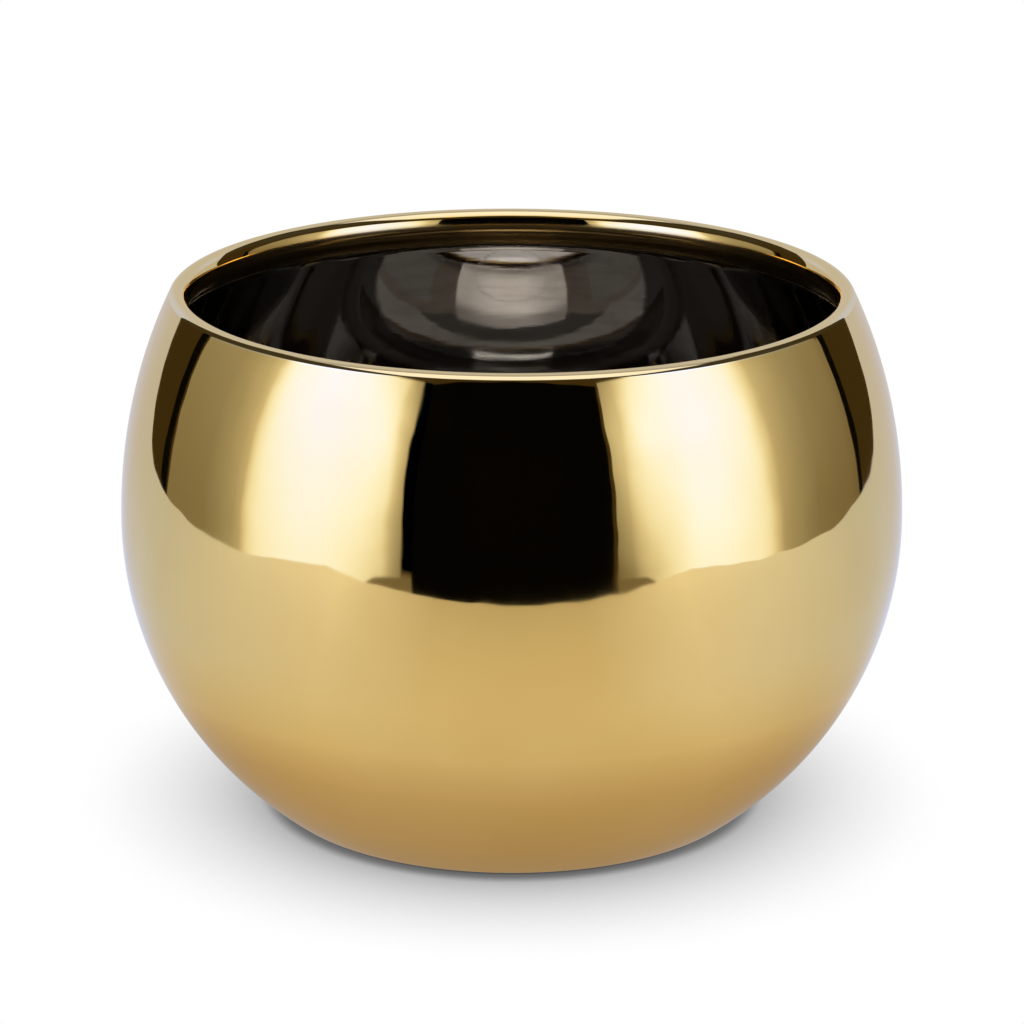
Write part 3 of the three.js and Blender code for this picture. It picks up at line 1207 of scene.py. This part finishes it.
def blackSilicone():
    material, tree, surface = startMaterial("blackSilicone")
    place = objectPlace(tree)
    grain = useGroup(tree, mattGrain, Place=place, Scale=2600, Specks=900)
    smudge = smudgesOn(tree, place, plug)
    colour = mixColour(tree, multiply(tree, smudge["Mask"], 0.5), plug["rubber"], plug["dust"])
    inputs = {
        "Base Color": mixColour(tree, multiply(tree, grain["Speck"], 0.6), colour, plug["dust"]),
        "Roughness": smudge["Roughness"],
        "Normal": bumpFrom(tree, multiply(tree, grain["Grain"], plug["grainHeight"])),
    }
    return finishMaterial(material, tree, surface, inputs)


def sealOutline():
    sink = pot["floor"] - pot["sinkDepth"]
    end = pot["feet"] + pot["recess"] - plug["reach"]
    pitch = (sink - end) / plug["ribs"]
    widest = pot["drainRadius"] - plug["clearance"]
    bottom = plug["seat"] - plug["pegLength"] - plug["clearance"]
    outline = [Vector((0, end))]
    for i in reversed(range(plug["ribs"])):
        crest = widest - plug["taper"] * i
        root = crest - plug["ribDepth"]
        top = sink - pitch * i
        outline += [
            Vector((root, top - pitch)),
            Vector((crest, top - pitch * plug["ribSlope"])),
            Vector((crest, top - pitch * plug["ribLand"])),
            Vector((root, top)),
        ]
    bore = plug["pegRadius"] + plug["clearance"]
    outline += [
        Vector((plug["rimRadius"], sink)),
        Vector((plug["rimRadius"], plug["seat"])),
        Vector((bore, plug["seat"])),
        Vector((bore, bottom)),
        Vector((0, bottom)),
    ]
    return outline


def addPlugSeal():
    piece = turnPiece("plugSeal", sealOutline(), 96, closed=False)
    bevelEdges(piece, plug["ribEdge"], segments=3, angle=0.4)
    smoothFaces(50)
    finishPiece(piece, blackSilicone(), "black_silicone", "plug", "plug_seal")


addPlugCap(glazeFinish)
addPlugSeal()
print("plug ready")

# Felt feet, glued under the foot ring

felts = {
    "count": 4,
    "radius": 0.0042,
    "edge": 0.00025,
    "colour": (0.040, 0.034, 0.030),
    "fluff": (0.11, 0.095, 0.085),
    "fibres": 1200,  # scale of the fibres
    "fibreHeight": 0.0002,
    "grainHeight": 0.0001,
    "taper": 0.0001,  # how much narrower a foot is where it is glued
    "taperFrom": 0.7,  # share of its thickness where half of that is reached
}


def brownFelt():
    material, tree, surface = startMaterial("brownFelt")
    place = objectPlace(tree)
    grain = useGroup(tree, mattGrain, Place=place, Scale=3200, Specks=1400)
    fibres = noise(tree, place, felts["fibres"], detail=3, roughness=0.7, stretch=(1, 3.5, 2))
    crossed = noise(tree, place, felts["fibres"], detail=3, roughness=0.7, stretch=(3.5, 1, 2))
    fibres = calculate(tree, "MAXIMUM", fibres, crossed)
    colour = mixColour(tree, ramp(tree, fibres, 0.5, 0.72), felts["colour"], felts["fluff"])
    bumps = multiply(tree, grain["Grain"], felts["grainHeight"])
    bumps = calculate(tree, "MULTIPLY_ADD", fibres, felts["fibreHeight"], bumps)
    inputs = {
        "Base Color": mixColour(tree, multiply(tree, grain["Speck"], 0.4), colour, felts["fluff"]),
        "Roughness": 0.95,
        "Normal": bumpFrom(tree, bumps),
        "Sheen Weight": 0.4,
    }
    return finishMaterial(material, tree, surface, inputs)


def feltOutline():
    radius = felts["radius"]
    edge = felts["edge"]
    thick = pot["feet"]
    return [
        Vector((0, 0)),
        Vector((radius - edge, 0)),
        *arc(Vector((radius - edge, edge)), edge, -quarterTurn, 0, 4)[1:],
        Vector((radius - felts["taper"] / 2, thick * felts["taperFrom"])),
        Vector((radius - felts["taper"], thick)),
        Vector((0, thick)),
    ]


def addFeltFeet():
    material = brownFelt()
    circle = (footOuter + footInner) / 2
    first = turnPiece("feltFoot1", feltOutline(), 56, closed=False)
    smoothFaces(50)
    feet = [first]
    for i in range(1, felts["count"]):
        selectOnly(first)
        bpy.ops.object.duplicate()
        foot = bpy.context.object
        foot.name = f"feltFoot{i + 1}"
        foot.data.name = foot.name
        feet.append(foot)
    for i, foot in enumerate(feet):
        turn = fullTurn * (i + 0.5) / felts["count"]
        selectOnly(foot)
        foot.location = (circle * math.cos(turn), circle * math.sin(turn), 0)
        foot.rotation_euler = (0, 0, turn)
        applyPlace()
        finishPiece(foot, material, "felt", "pot", f"felt_foot_{i + 1}")


addFeltFeet()
print("felt feet ready")

bpy.context.scene.view_settings.view_transform = "Standard"
